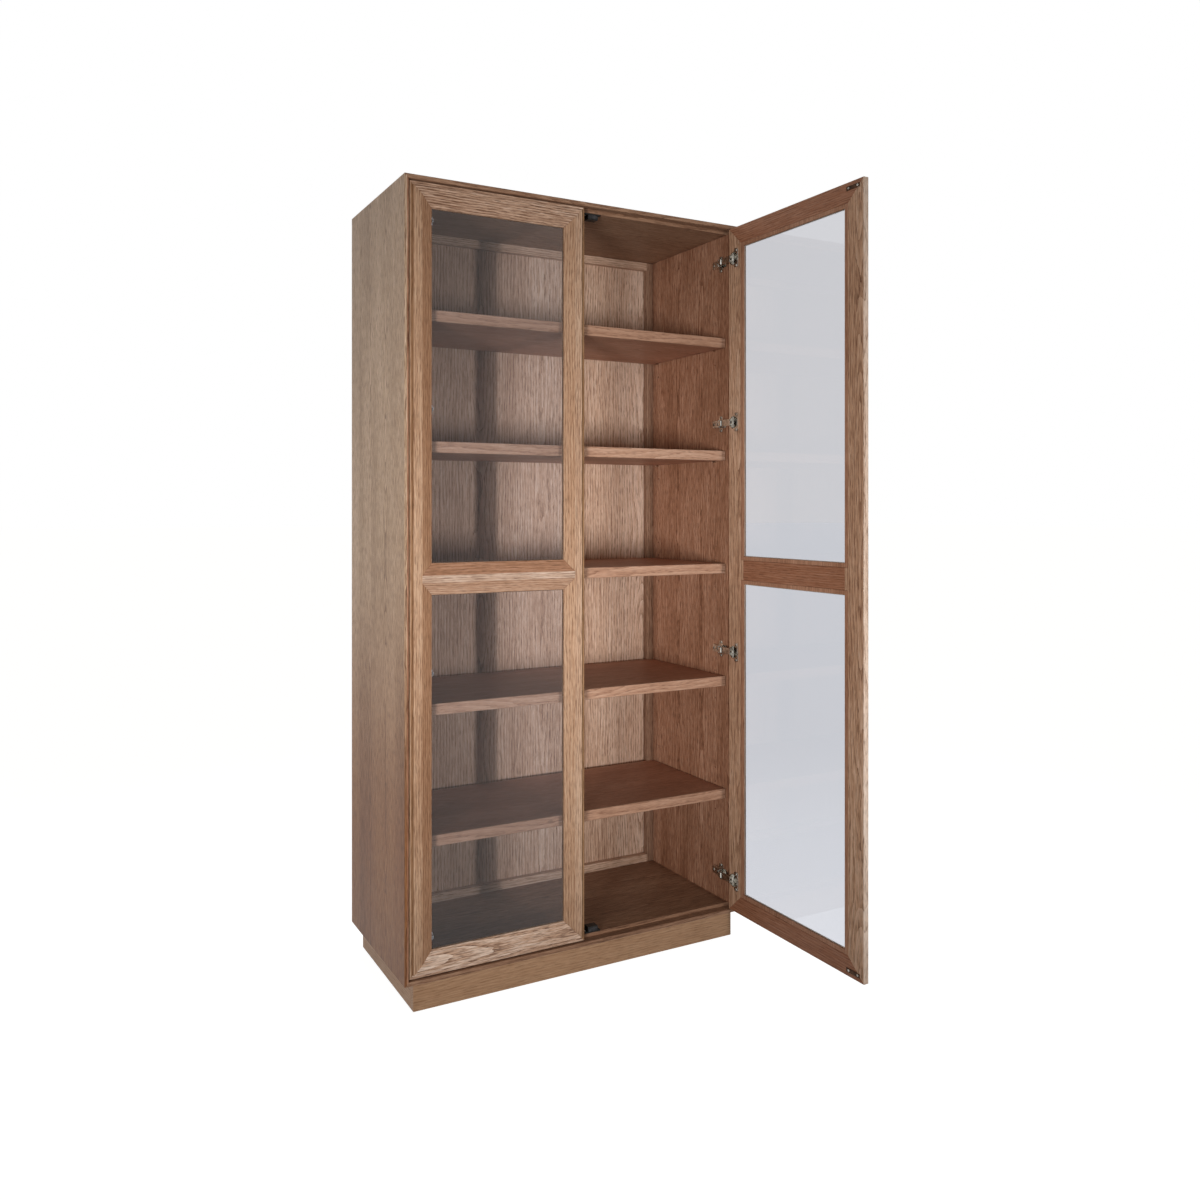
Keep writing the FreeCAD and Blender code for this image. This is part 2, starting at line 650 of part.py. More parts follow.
def hinge_arms(label, hand):
    """Cranked arms on the plates, each with a knuckle in front that carries the link's pin."""
    body = new_body(f"{label}_arm")
    radius = "Dims.knuckle_radius"
    rear = f"{PIVOT_Y} + Dims.arm_length"
    corners = [
        (PLATE_TOP, rear), (PLATE_TOP, f"{PIVOT_Y} + Dims.arm_shoulder"),
        (f"Dims.pivot_inset - {radius}", f"{PIVOT_Y} + {radius}"),
        (f"Dims.pivot_inset - {radius}", f"{PIVOT_Y} - {radius} / 2"),
        (f"Dims.pivot_inset - {radius} / 2", f"{PIVOT_Y} - {radius}"),
        (f"Dims.pivot_inset + {radius} / 2", f"{PIVOT_Y} - {radius}"),
        (f"Dims.pivot_inset + {radius}", f"{PIVOT_Y} - {radius} / 2"),
        (f"Dims.pivot_inset + {radius}", f"{PIVOT_Y} + 2 * {radius}"),
        (f"{PLATE_TOP} + Dims.arm_shoulder / 2 + {radius}", f"{PIVOT_Y} + Dims.arm_shoulder + {radius}"),
        (f"{PLATE_TOP} + Dims.arm_height", rear),
    ]
    side = sketch_on(body, "side", "XY_Plane")
    outline(side, [(toward(hand, inward), y) for inward, y in corners])
    pad(body, side, "Dims.arm_width", symmetric=True)
    waist = sketch_on(body, "waist", "YZ_Plane")
    for sign in ("", "-"):
        rectangle(waist, f"{PIVOT_Y} - 2 * {radius}", f"{sign}Dims.knuckle_width / 2",
                  f"{PIVOT_Y} + 3 * {radius}", f"{sign}Dims.arm_width")
    cut(body, waist)
    bore = sketch_on(body, "bore", "XY_Plane")
    circle(bore, toward(hand, "Dims.pivot_inset"), PIVOT_Y, "Dims.hinge_pin / 2 + Dims.hinge_pin_fit")
    cut(body, bore)
    arms = group(label, copies(body, HINGE_HEIGHTS))
    place(arms, toward(-hand, HINGE_LINE), f"-{HALF_DEPTH}", "0")
    nodes.append(arms)


def hinge_links(label, hand):
    """Links that turn on the arms with the door, and whose hooked ends reach into the cups."""
    body = new_body(f"{label}_link")
    half = "Dims.link_thickness / 2"
    eye = "Dims.link_eye"
    start = "Dims.link_start"
    cheek = sketch_on(body, "cheek", "XY_Plane")
    corners = [(f"-{eye}", f"-{eye} / 2"), (f"-{eye} / 2", f"-{eye}"), (f"{eye} / 2", f"-{eye}"),
               (f"{start} + {eye}", f"-{half}"), ("Dims.link_length", f"-{half}"),
               ("Dims.link_length", half), (f"{start} + {eye}", half), (f"{eye} / 2", eye),
               (f"-{eye} / 2", eye), (f"-{eye}", f"{eye} / 2")]
    outline(cheek, [(toward(hand, along), y) for along, y in corners])
    pad(body, cheek, "Dims.link_width", symmetric=True)
    slot = sketch_on(body, "slot", "XZ_Plane")
    reach = "(Dims.knuckle_width / 2 + Dims.link_side_gap)"
    rectangle(slot, toward(hand, f"-2 * {eye}"), f"-{reach}", toward(hand, start), reach)
    cut(body, slot)
    hook = sketch_on(body, "hook", "XY_Plane")
    rectangle(hook, toward(hand, "Dims.link_length - Dims.link_thickness"), "-Dims.hook_depth",
              toward(hand, "Dims.link_length"), half)
    pad(body, hook, "Dims.hook_width", symmetric=True)
    pin = sketch_on(body, "pin", "XY_Plane")
    circle(pin, "0", "0", "Dims.hinge_pin / 2")
    pad(body, pin, "Dims.link_width", symmetric=True)
    links = group(label, copies(body, HINGE_HEIGHTS))
    turn = "Dims.right_door_opening" if hand == RIGHT else None
    place(links, toward(-hand, f"{HINGE_LINE} - Dims.pivot_inset"), f"{PIVOT_Y} - {HALF_DEPTH}", "0", turn)
    nodes.append(links)


# Magnetic catches under the top and on the bottom, two for each door

def catches():
    body = new_body("catch_case")
    wide = "Dims.catch_width / 2"
    block = "Dims.catch_block / 2"
    front = sketch_on(body, "front", "XZ_Plane")
    half = [(wide, "0"), (wide, "Dims.catch_ear"), (block, "Dims.catch_ear"), (block, "Dims.catch_height")]
    outline(front, half + [(f"-{x}", z) for x, z in reversed(half)])
    pad(body, front, "Dims.catch_depth", reverse=True)
    recess = sketch_on(body, "recess", "XZ_Plane")
    low = "(Dims.catch_height - Dims.magnet_height) / 2"
    rectangle(recess, "-Dims.magnet_width / 2", low, "Dims.magnet_width / 2", f"{low} + Dims.magnet_height")
    cut(body, recess, "Dims.magnet_depth")
    magnet = new_body("catch_magnet")
    clear = "Dims.magnet_clearance"
    face = sketch_on(magnet, "face", "XZ_Plane")
    rectangle(face, f"{clear} - Dims.magnet_width / 2", f"{low} + {clear}",
              f"Dims.magnet_width / 2 - {clear}", f"{low} + Dims.magnet_height - {clear}")
    pad(magnet, face, "Dims.magnet_depth", reverse=True)
    for label, piece in (("catch_cases", body), ("catch_magnets", magnet)):
        members = []
        for hand in (LEFT, RIGHT):
            for height, angle in ((INNER_BOTTOM, 0), (INNER_TOP, 180)):
                link = doc.addObject("App::Link", f"{label}_copy")
                link.LinkedObject = piece
                link.Placement.Rotation = FreeCAD.Rotation(FreeCAD.Vector(0, 1, 0), angle)
                place(link, toward(-hand, CATCH_CENTRE), f"{CATCH_FRONT} - {HALF_DEPTH}", height)
                members.append(link)
        nodes.append(group(label, members))


side_panel("side_panel_left", LEFT)
side_panel("side_panel_right", RIGHT)
level_panel("bottom_panel", LEFT, "Dims.plinth_height")
level_panel("top_panel", RIGHT, "Dims.case_height")
back()
battens()
plinth()
for shelf_number, shelf_top in enumerate(SHELF_TOPS, start=1):
    shelf(f"shelf_{shelf_number}", shelf_top)
shelf_pins()
for side_name, side_hand in (("left", LEFT), ("right", RIGHT)):
    stile(f"{side_name}_door_hinge_stile", side_hand, at_hinge=True)
    stile(f"{side_name}_door_meeting_stile", side_hand, at_hinge=False)
    end_rail(f"{side_name}_door_top_rail", side_hand, at_top=True)
    end_rail(f"{side_name}_door_bottom_rail", side_hand, at_top=False)
    mid_rail(f"{side_name}_door_mid_rail", side_hand)
    for pane_name in PANES:
        glass(f"{side_name}_door_{pane_name}_glass", side_hand, pane_name)
        bead(f"{side_name}_door_{pane_name}_bead", side_hand, pane_name)
    hinge_cups(f"{side_name}_door_hinge_cups", side_hand)
    strike_plates(f"{side_name}_door_strike_plates", side_hand)
    hinge_plates(f"hinge_plates_{side_name}", side_hand)
    hinge_arms(f"hinge_arms_{side_name}", side_hand)
    hinge_links(f"hinge_links_{side_name}", side_hand)
catches()
doc.recompute()

for item in doc.Objects:
    if "Invalid" in item.State or "Error" in item.State:
        raise RuntimeError(f"{item.Label} failed: {item.State}")
    if item.TypeId == "PartDesign::Pocket" and item.Shape.Volume >= item.BaseFeature.Shape.Volume:
        raise RuntimeError(f"{item.Label} cuts nothing")
for node in nodes:
    if node.Shape.isNull() or not node.Shape.isValid():
        raise RuntimeError(f"{node.Label} has no valid shape")

os.makedirs("parts", exist_ok=True)
for node in nodes:
    node.Shape.exportStep(f"parts/{node.Label}.step")
print(f"{len(nodes)} nodes written")
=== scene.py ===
import json
import math

import bmesh
import bpy
from mathutils import Matrix, Vector

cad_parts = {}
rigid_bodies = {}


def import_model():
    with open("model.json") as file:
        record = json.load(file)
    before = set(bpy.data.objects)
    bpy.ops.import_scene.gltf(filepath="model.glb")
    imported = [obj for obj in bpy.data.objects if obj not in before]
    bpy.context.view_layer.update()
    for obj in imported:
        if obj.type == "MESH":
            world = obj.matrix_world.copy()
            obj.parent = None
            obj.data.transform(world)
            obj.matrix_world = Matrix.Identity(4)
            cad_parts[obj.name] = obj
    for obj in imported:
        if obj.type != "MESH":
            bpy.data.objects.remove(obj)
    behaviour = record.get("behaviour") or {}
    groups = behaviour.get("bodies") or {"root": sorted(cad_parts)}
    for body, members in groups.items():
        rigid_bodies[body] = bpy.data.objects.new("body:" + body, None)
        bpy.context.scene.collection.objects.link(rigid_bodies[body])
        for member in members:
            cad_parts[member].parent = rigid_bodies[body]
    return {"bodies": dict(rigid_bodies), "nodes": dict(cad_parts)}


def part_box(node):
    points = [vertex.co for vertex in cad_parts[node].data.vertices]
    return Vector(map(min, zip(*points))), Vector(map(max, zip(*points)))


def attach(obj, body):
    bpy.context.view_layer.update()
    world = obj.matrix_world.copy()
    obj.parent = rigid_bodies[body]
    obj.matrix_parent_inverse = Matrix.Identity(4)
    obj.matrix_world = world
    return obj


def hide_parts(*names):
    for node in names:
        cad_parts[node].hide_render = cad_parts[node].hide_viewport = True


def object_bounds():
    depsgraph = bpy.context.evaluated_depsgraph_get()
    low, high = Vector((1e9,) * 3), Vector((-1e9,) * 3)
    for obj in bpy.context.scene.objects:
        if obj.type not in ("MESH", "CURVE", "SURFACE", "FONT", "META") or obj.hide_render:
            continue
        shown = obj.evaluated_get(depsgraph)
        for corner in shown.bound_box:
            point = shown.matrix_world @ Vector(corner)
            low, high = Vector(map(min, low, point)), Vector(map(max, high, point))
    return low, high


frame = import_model()
nodes = frame["nodes"]
cad_low, cad_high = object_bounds()

MM = 0.001
X_AXIS = Vector((1, 0, 0))
Y_AXIS = Vector((0, 1, 0))
Z_AXIS = Vector((0, 0, 1))
SIDES = ("left", "right")


# Node materials

def linear(hex_colour):
    """Linear colour of an sRGB hex value, with full alpha."""
    parts = [int(hex_colour[i:i + 2], 16) / 255 for i in (0, 2, 4)]
    return [c / 12.92 if c <= 0.04045 else ((c + 0.055) / 1.055) ** 2.4 for c in parts] + [1.0]


def add(tree, kind, inputs=None, **settings):
    """A new node with its settings; an input is a value, a socket, or a node whose first output feeds it."""
    node = tree.nodes.new(kind)
    for name, value in settings.items():
        setattr(node, name, value)
    for key, value in (inputs or {}).items():
        if isinstance(value, bpy.types.Node):
            value = value.outputs[0]
        if isinstance(value, bpy.types.NodeSocket):
            tree.links.new(value, node.inputs[key])
        else:
            node.inputs[key].default_value = value
    return node


def new_material(name):
    material = bpy.data.materials.new(name)
    material.use_nodes = True
    material.node_tree.nodes.clear()
    return material, material.node_tree


def ramp(tree, factor, stops):
    """A colour ramp with its stops given as places and sRGB hex values."""
    node = add(tree, "ShaderNodeValToRGB", {"Fac": factor})
    elements = node.color_ramp.elements
    while len(elements) < len(stops):
        elements.new(1.0)
    for element, (place, colour) in zip(elements, stops):
        element.position = place
        element.color = linear(colour)
    return node


def per_mm(across_mm, thick_mm, along_mm):
    """Scale of a pattern from its real size across the board, through it and along the grain."""
    return (1 / (across_mm * MM), 1 / (thick_mm * MM), 1 / (along_mm * MM))


# Boards lie one shelf spacing apart or more, so this layer tells which board a point belongs to
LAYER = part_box("shelf_2")[0].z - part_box("shelf_1")[0].z
LAYER_START = -100 * MM
# Any two numbers that set the leaves of neighbouring boards apart
LAYER_STEP = 17.3
LOG_SPREAD = 37.0

# Sizes of the wood's marks across the board, through it and along the grain, in mm
RING_WAVE_MM = (45, 45, 260)
STREAK_MM = (2.6, 2.6, 48)
CLOUD_MM = (80, 80, 620)
PORE_MM = (2.0, 2.0, 20)
# The heart of the log comes nearer to the face and falls back over this length, and this near at most
FLAME_LENGTH = 750 * MM
HEART_NEAREST = 2 * MM
# How far rings sway, in rings, and how much they shift through the board's thickness
RING_SWAY = 2.8
RING_SLANT = 0.4
# Between these heights a side darkens toward its foot, a painted shade
GRADE_LOW = 0.3
GRADE_HIGH = 1.2


def stained(tree, tone, tones):
    """The stain's colours from its darkest to its palest tone."""
    return ramp(tree, tone, list(zip((0.1, 0.5, 0.9), tones)))


def oak(name, tones, across, grain, leaf_mm, ring_mm=6.0, flame_mm=26.0, heart=(0.2, 0.8), contrast=1.0,
        patches=()):
    """Stained oak under satin lacquer.

    Growth rings show as tall flames near the middle of each veneer leaf or board, and as straight lines
    beside them. Open pores follow the rings as dark ticks, fine streaks run with the grain, and the stain
    takes unevenly. Rings, pores and streaks are drawn two to three times as coarse as real ones to show.
    """
    material, tree = new_material(name)
    place = add(tree, "ShaderNodeTexCoord").outputs["Object"]
    turn = Matrix((across, grain.cross(across), grain)).to_euler()
    board = add(tree, "ShaderNodeMapping", {"Vector": place, "Rotation": turn})
    axes = add(tree, "ShaderNodeSeparateXYZ", {0: board}).outputs

    # Each leaf of each board is cut from another part of the log
    share = add(tree, "ShaderNodeMath", {0: axes["X"], 1: leaf_mm * MM}, operation="DIVIDE")
    leaf = add(tree, "ShaderNodeMath", {0: share}, operation="FLOOR")
    within = add(tree, "ShaderNodeMath", {0: share, 1: leaf}, operation="SUBTRACT")
    stacked = add(tree, "ShaderNodeMath", {0: axes["Y"], 1: LAYER_START}, operation="SUBTRACT")
    stacked = add(tree, "ShaderNodeMath", {0: stacked, 1: LAYER}, operation="DIVIDE")
    layer = add(tree, "ShaderNodeMath", {0: stacked}, operation="FLOOR")
    number = add(tree, "ShaderNodeMath", {0: layer, 1: LAYER_STEP, 2: leaf}, operation="MULTIPLY_ADD")
    chance = add(tree, "ShaderNodeTexWhiteNoise", {"W": number}, noise_dimensions="1D")
    centre = add(tree, "ShaderNodeMapRange", {"Value": chance, "To Min": heart[0], "To Max": heart[1]})
    aside = add(tree, "ShaderNodeMath", {0: within, 1: centre}, operation="SUBTRACT")
    aside = add(tree, "ShaderNodeMath", {0: aside, 1: leaf_mm * MM}, operation="MULTIPLY")

    # Rings round a heart that slowly comes nearer to the face and falls back along the board
    along = add(tree, "ShaderNodeMath", {0: axes["Z"], 1: FLAME_LENGTH}, operation="DIVIDE")
    along = add(tree, "ShaderNodeMath", {0: chance, 1: LOG_SPREAD, 2: along}, operation="MULTIPLY_ADD")
    wander = add(tree, "ShaderNodeTexNoise", {"W": along, "Scale": 1.0, "Detail": 1.0}, noise_dimensions="1D")
    depth = add(tree, "ShaderNodeMapRange", {"Value": wander, "From Min": 0.3, "From Max": 0.7,
                                             "To Min": HEART_NEAREST, "To Max": flame_mm * MM})
    to_heart = add(tree, "ShaderNodeCombineXYZ", {"X": aside, "Y": depth})
    radius = add(tree, "ShaderNodeVectorMath", {0: to_heart}, operation="LENGTH").outputs["Value"]
    radius = add(tree, "ShaderNodeMath", {0: axes["Y"], 1: RING_SLANT, 2: radius}, operation="MULTIPLY_ADD")
    wavy = add(tree, "ShaderNodeVectorMath", {0: board, 1: per_mm(*RING_WAVE_MM)}, operation="MULTIPLY")
    wave = add(tree, "ShaderNodeTexNoise", {"Vector": wavy, "Scale": 1.0, "Detail": 4.0})
    sway = RING_SWAY * ring_mm * MM
    radius = add(tree, "ShaderNodeMath", {0: wave, 1: sway, 2: radius}, operation="MULTIPLY_ADD")
    rings = add(tree, "ShaderNodeMath", {0: radius, 1: ring_mm * MM}, operation="DIVIDE")
    ring = add(tree, "ShaderNodeMath", {0: rings}, operation="FRACT")
    late = add(tree, "ShaderNodeMath", {0: ring, 1: 0.6}, operation="POWER")

    # Fine streaks, broad clouds of stain, and pores that open in the early wood of each ring
    fine = add(tree, "ShaderNodeVectorMath", {0: board, 1: per_mm(*STREAK_MM)}, operation="MULTIPLY")
    streaks = add(tree, "ShaderNodeTexNoise", {
        "Vector": fine, "Scale": 1.0, "Detail": 4.0, "Roughness": 0.65})
    wide = add(tree, "ShaderNodeVectorMath", {0: board, 1: per_mm(*CLOUD_MM)}, operation="MULTIPLY")
    clouds = add(tree, "ShaderNodeTexNoise", {"Vector": wide, "Scale": 1.0, "Detail": 2.0})
    tick = add(tree, "ShaderNodeVectorMath", {0: board, 1: per_mm(*PORE_MM)}, operation="MULTIPLY")
    ticks = add(tree, "ShaderNodeTexNoise", {"Vector": tick, "Scale": 1.0, "Detail": 1.5})
    opened = add(tree, "ShaderNodeMapRange", {"Value": ticks, "From Min": 0.47, "From Max": 0.62})
    early = add(tree, "ShaderNodeMapRange", {"Value": late, "To Min": 1.0, "To Max": 0.2})
    pores = add(tree, "ShaderNodeMath", {0: opened, 1: early}, operation="MULTIPLY")

    # One tone from all of them, each with its gain and its mean, and the stain's colours from the tone
    parts = ((streaks, 1.1, 0.5), (late, 0.3, 0.625), (clouds, 0.55, 0.5), (chance, 0.14, 0.5))
    tone = 0.5 - contrast * sum(gain * mean for part, gain, mean in parts)
    for part, gain, mean in parts:
        tone = add(tree, "ShaderNodeMath", {0: part, 1: contrast * gain, 2: tone}, operation="MULTIPLY_ADD")
    colour = stained(tree, tone, tones)
    for axis, limit, other, low_down_shade in patches:
        # Faces beyond a plane get another tone, and some of them another one low down: on the sides and the
        # door frames these are painted light and shade, lit and shaded tones of one oak, and the tone low
        # down is painted shade
        where = add(tree, "ShaderNodeSeparateXYZ", {0: place}).outputs[axis]
        where = add(tree, "ShaderNodeMath", {0: where}, operation="ABSOLUTE")
        beyond = add(tree, "ShaderNodeMath", {0: where, 1: limit}, operation="GREATER_THAN")
        there = stained(tree, tone, other)
        if low_down_shade:
            below = stained(tree, tone, low_down_shade)
            height = add(tree, "ShaderNodeSeparateXYZ", {0: place}).outputs["Z"]
            limits = {"Value": height, "From Min": GRADE_LOW, "From Max": GRADE_HIGH}
            rise = add(tree, "ShaderNodeMapRange", limits, interpolation_type="SMOOTHSTEP")
            there = add(tree, "ShaderNodeMix", {0: rise, 6: below, 7: there}, data_type="RGBA").outputs[2]
        mixed = add(tree, "ShaderNodeMix", {0: beyond, 6: colour, 7: there}, data_type="RGBA")
        colour = mixed.outputs[2]
    shade = add(tree, "ShaderNodeMath", {0: pores, 1: min(1.0, 0.75 * contrast)}, operation="MULTIPLY")
    wood = add(tree, "ShaderNodeMix", {0: shade, 6: colour, 7: linear(tones[3])}, data_type="RGBA")
    rough = add(tree, "ShaderNodeMapRange", {"Value": streaks, "From Min": 0.3, "From Max": 0.7,
                                             "To Min": 0.52, "To Max": 0.4})
    relief = add(tree, "ShaderNodeMath", {0: late, 1: 0.3}, operation="MULTIPLY")
    relief = add(tree, "ShaderNodeMath", {0: relief, 1: pores}, operation="SUBTRACT")
    bump = add(tree, "ShaderNodeBump", {"Height": relief, "Strength": 0.3, "Distance": 0.35 * MM})
    shader = add(tree, "ShaderNodeBsdfPrincipled", {
        "Base Color": wood.outputs[2], "Roughness": rough, "Normal": bump, "Specular IOR Level": 0.2})
    add(tree, "ShaderNodeOutputMaterial", {"Surface": shader})
    return material


def float_glass():
    """Clear float glass: it takes little from what is behind, and its polished faces mirror at a slant."""
    material, tree = new_material("clear_float_glass")
    place = add(tree, "ShaderNodeTexCoord").outputs["Object"]
    smear = add(tree, "ShaderNodeTexNoise", {"Vector": place, "Scale": 1 / (160 * MM), "Detail": 3.0})
    rough = add(tree, "ShaderNodeMapRange", {"Value": smear, "From Min": 0.3, "From Max": 0.7,
                                             "To Min": 0.0, "To Max": 0.01})
    pane = add(tree, "ShaderNodeBsdfPrincipled", {
        "Base Color": linear("e3e6ee"), "Transmission Weight": 1.0, "IOR": 1.5, "Roughness": rough,
        "Specular IOR Level": 0.15, "Specular Tint": linear("d0cdc9")})
    clear = add(tree, "ShaderNodeBsdfTransparent", {"Color": linear("fbfcfc")})
    lamp_ray = add(tree, "ShaderNodeLightPath").outputs["Is Shadow Ray"]
    both = add(tree, "ShaderNodeMixShader", {0: lamp_ray, 1: pane, 2: clear})
    add(tree, "ShaderNodeOutputMaterial", {"Surface": both})
    return material


def metal(name, colour, stain_colour, roughness, grit_mm):
    """Stamped and plated steel: a dull mirror with faint die marks and darker stains in its plating."""
    material, tree = new_material(name)
    place = add(tree, "ShaderNodeTexCoord").outputs["Object"]
    grit = add(tree, "ShaderNodeTexNoise", {"Vector": place, "Scale": 1 / (grit_mm * MM), "Detail": 3.0})
    stains = add(tree, "ShaderNodeTexNoise", {"Vector": place, "Scale": 1 / (14 * MM), "Detail": 3.0})
    tint = ramp(tree, stains, [(0.35, stain_colour), (0.6, colour)])
    rough = add(tree, "ShaderNodeMapRange", {"Value": grit, "From Min": 0.3, "From Max": 0.7,
                                             "To Min": roughness * 0.75, "To Max": roughness * 1.3})
    bump = add(tree, "ShaderNodeBump", {"Height": grit, "Strength": 0.12, "Distance": 0.1 * MM})
    shader = add(tree, "ShaderNodeBsdfPrincipled", {
        "Base Color": tint, "Metallic": 1.0, "Roughness": rough, "Normal": bump})
    add(tree, "ShaderNodeOutputMaterial", {"Surface": shader})
    return material


def moulded(name, colour, worn_colour, roughness, grain_mm):
    """Moulded plastic, rubber or pressed ferrite: a fine pitted skin, rubbed a little paler in places."""
    material, tree = new_material(name)
    place = add(tree, "ShaderNodeTexCoord").outputs["Object"]
    pits = add(tree, "ShaderNodeTexNoise", {"Vector": place, "Scale": 1 / (grain_mm * MM), "Detail": 2.0})
    rubbed = add(tree, "ShaderNodeTexNoise", {"Vector": place, "Scale": 1 / (9 * MM), "Detail": 3.0})
    tint = ramp(tree, rubbed, [(0.45, colour), (0.75, worn_colour)])
    rough = add(tree, "ShaderNodeMapRange", {"Value": rubbed, "To Min": roughness * 1.15,
                                             "To Max": roughness * 0.8})
    bump = add(tree, "ShaderNodeBump", {"Height": pits, "Strength": 0.25, "Distance": 0.15 * MM})
    shader = add(tree, "ShaderNodeBsdfPrincipled", {
        "Base Color": tint, "Roughness": rough, "Normal": bump, "Specular IOR Level": 0.3})
    add(tree, "ShaderNodeOutputMaterial", {"Surface": shader})
    return material


# Finishes of the wooden pieces: the darkest, middle and palest tone of the stain, and its pores
# A side's inner faces take a shaded tone and its outer face a lit one, painted light and shade, and low down
# a painted shade
SIDE_INNER_SHADE = ("744c36", "a07258", "c89d83", "4e2f21")
SIDE_OUTER_LIGHT = ("836751", "b4987d", "d4b9a2")
SIDE_LOW_SHADE = ("5f3c26", "855838", "a47852")
LEVEL = ("6f503d", "98735b", "bc987d", "4c3225")
BACK = ("97735e", "cba890", "e8cebb", "6f4e3c")
UPRIGHT = ("70503b", "95735d", "b6957f", "493022")
CROSSING = ("9c7962", "cba991", "e4c9b5", "6b4d3b")
PLINTH = ("8a664a", "b08a6b", "cba98a", "644730")
SHELF = ("825846", "ad7a62", "d0a289", "5a3a2e")
SHELF_FRONT = ("8a634c", "b48c74", "d2af98")
DOOR = ("7f5a42", "af8a6e", "d0b095", "553a29")
# The foot of the door frame's ridge takes a painted shadow, and the hinge stile's bevel a painted shade
FOOT_SHADOW = ("664630", "8c684b", "ac8868")
HINGE_BEVEL_SHADE = ("774f38", "a57b5d", "c49d7e", "503422")
# The meeting stile's bevel, ridge and margin take painted shade, painted light and a painted shadow
MEETING_BEVEL_SHADE = ("7a5640", "a88469", "c8a88e")
MEETING_RIDGE_LIT = ("845f48", "b69278", "d8bba2")
MEETING_MARGIN_SHADOW = ("6b4933", "94704f", "b38e6d", "4a3020")
MID_RAIL = ("6f4e39", "a8836a", "cfb19b", "4d3325")
# The mid rail's ridge takes a painted sheen and its upper bevel a painted shade
MID_RAIL_SHEEN = ("765743", "b49681", "dcc6b6")
MID_RAIL_TOP_SHADE = ("623f2c", "966d53", "b88e75")
END_RAIL = ("7e5c47", "c6a289", "f0d8c6", "573a2a")
# Inside the right door the stiles take painted light, the rails and beads painted shade, and the free edge
# painted light
OPEN_STILE_LIGHT = ("8c654e", "bf977a", "dfbfa6", "604130")
OPEN_RAIL_SHADE = ("6d442e", "9a694f", "bb8e75", "482a1b")
OPEN_BEAD_SHADE = ("7b543f", "a97c62", "c89f86", "523424")
FREE_EDGE_LIT = ("b4927b", "e4c9b4", "f5e2d3")

# Width of a veneer leaf or board, in mm
CASE_LEAF = 138
BACK_LEAF = 164
SHELF_LEAF = 118
BATTEN_LEAF = 90
PLINTH_LEAF = 130
STILE_LEAF = 170
OPEN_LEAF = 150
# Width of a ring, depth of the flames in mm, and place of the heart of the log as shares of the leaf:
# most of the frame is sawn beside the heart, so that its rings run straight
RIFT = (6.0, 40.0, (-0.9, -0.5))
OPEN_RINGS = (7.0, 30.0, (0.35, 0.6))
# One rail is sawn through the heart, and this leaf width leaves every rail whole
RAIL_LEAF = 155
RAIL_RINGS = (7.0, 34.0, (0.66, 0.74))
# Steps of the door frame from its edge inward: a painted shadow at the foot of the ridge, then comes the
# ridge itself, and then the bevel down to the pane
FOOT_END = 5 * MM
MARGIN_END = 10 * MM
RIDGE_END = 32 * MM
DOOR_EDGE = -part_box("left_door_hinge_stile")[0].x
DOOR_START = -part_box("left_door_meeting_stile")[1].x
MID_RAIL_MIDDLE = sum(corner.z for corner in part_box("left_door_mid_rail")) / 2
MID_RAIL_RIDGE = 9 * MM
SIDE_SKIN = 6 * MM
SIDE_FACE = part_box("side_panel_right")[1].x - SIDE_SKIN
SHELF_FACE = 170 * MM
# The outside of the right door has the tone of the left one, and its inside is redder, with painted light on
# its stiles and painted shade on its rails and beads; its free edge is paler, painted light
RIGHT_DOOR_SKIN = 5.5 * MM
RIGHT_DOOR_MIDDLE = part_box("right_door_hinge_stile")[0].x + RIGHT_DOOR_SKIN
FREE_EDGE_SKIN = 1.5 * MM

